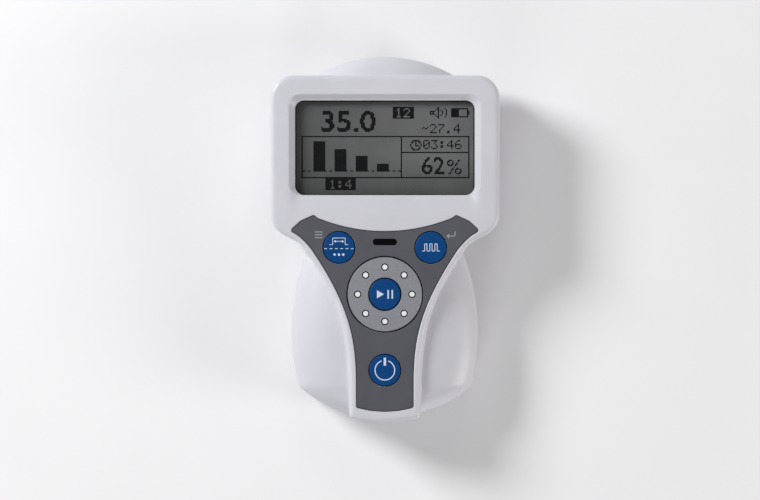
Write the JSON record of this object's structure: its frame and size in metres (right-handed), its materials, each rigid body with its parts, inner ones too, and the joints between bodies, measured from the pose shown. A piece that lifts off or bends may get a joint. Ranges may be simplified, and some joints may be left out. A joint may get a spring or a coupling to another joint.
{
  "type": "handheld nerve stimulator",
  "caption": "Handheld nerve stimulator with a screen in a wide head, a jog dial with a centre key, round keys, a waisted grip, a sliding battery door and a lead socket.",
  "frame": {"origin": "centre of the footprint on the back plane, z = 0", "axes": "+Y towards the screen and lead socket end, +Z out of the front face, +X to the right seen from the front"},
  "size_m": [0.09, 0.1436, 0.031],
  "materials": {
    "case_plastic": "fine satin",
    "door_plastic": "fine satin",
    "dark_steel": "blackened",
    "window": "clear, tinted",
    "foam": "foam",
    "lcd": "reflective",
    "steel": "plain",
    "light_guide": "clear",
    "white_plastic": "moulded",
    "flex": "film",
    "overlay": "fine textured film",
    "key_plastic": "satin gloss",
    "black_plastic": "moulded",
    "dial_plastic": "silver paint with fine flake",
    "marker_white": "satin",
    "brass": "plain",
    "lens": "smoked, glossy",
    "board": "solder mask",
    "coil": "taped winding",
    "sleeve": "sleeve",
    "cell": "plain wrap"
  },
  "bodies": {
    "case": {"front_housing": "case_plastic", "rear_housing": "case_plastic", "housing_screws": "dark_steel", "display_window": "window", "display_gasket": "foam", "lcd_glass": "lcd", "lcd_bezel": "steel", "lcd_backlight": "light_guide", "lcd_holder": "white_plastic", "lcd_flex": "flex", "keypad_overlay": "overlay", "mode_switch": "steel", "rate_switch": "steel", "play_switch": "steel", "power_switch": "steel", "dial_carrier": "white_plastic", "carrier_screws": "dark_steel", "detent_spring": "brass", "detent_ball": "steel", "opto_sensor": "black_plastic", "indicator_lens": "lens", "indicator_led": "white_plastic", "main_board": "board", "board_screws": "dark_steel", "processor": "black_plastic", "driver_chips": "black_plastic", "output_transformer": "coil", "storage_capacitor": "sleeve", "buzzer": "black_plastic", "battery_cell_1": "cell", "battery_cell_2": "cell", "battery_cell_3": "cell", "battery_cell_4": "cell", "battery_springs": "steel", "battery_contacts": "steel", "socket_shell": "black_plastic", "socket_insert": "white_plastic", "socket_contacts": "brass"},
    "mode_key": {"mode_key": "key_plastic", "mode_plunger": "black_plastic"},
    "rate_key": {"rate_key": "key_plastic", "rate_plunger": "black_plastic"},
    "play_key": {"play_key": "key_plastic", "play_plunger": "black_plastic"},
    "power_key": {"power_key": "key_plastic", "power_plunger": "black_plastic"},
    "dial": {"dial_ring": "dial_plastic", "dial_markers": "marker_white", "code_wheel": "black_plastic"},
    "battery_door": {"battery_door": "door_plastic"}
  },
  "joints": [
    {"name": "mode_key_press", "type": "slide", "parent": "case", "child": "mode_key", "axis": [0, 0, -1], "range_m": [0, 0.0006], "stiffness_N_per_m": 2500},
    {"name": "rate_key_press", "type": "slide", "parent": "case", "child": "rate_key", "axis": [0, 0, -1], "range_m": [0, 0.0006], "stiffness_N_per_m": 2500},
    {"name": "play_key_press", "type": "slide", "parent": "case", "child": "play_key", "axis": [0, 0, -1], "range_m": [0, 0.0006], "stiffness_N_per_m": 2500},
    {"name": "power_key_press", "type": "slide", "parent": "case", "child": "power_key", "axis": [0, 0, -1], "range_m": [0, 0.0006], "stiffness_N_per_m": 2500},
    {"name": "dial_turn", "type": "hinge", "parent": "case", "child": "dial", "pos_m": [0, -0.02185, 0.028], "axis": [0, 0, 1], "continuous": true},
    {"name": "door_slide", "type": "slide", "parent": "case", "child": "battery_door", "axis": [0, -1, 0], "range_m": [0, 0.055]}
  ]
}
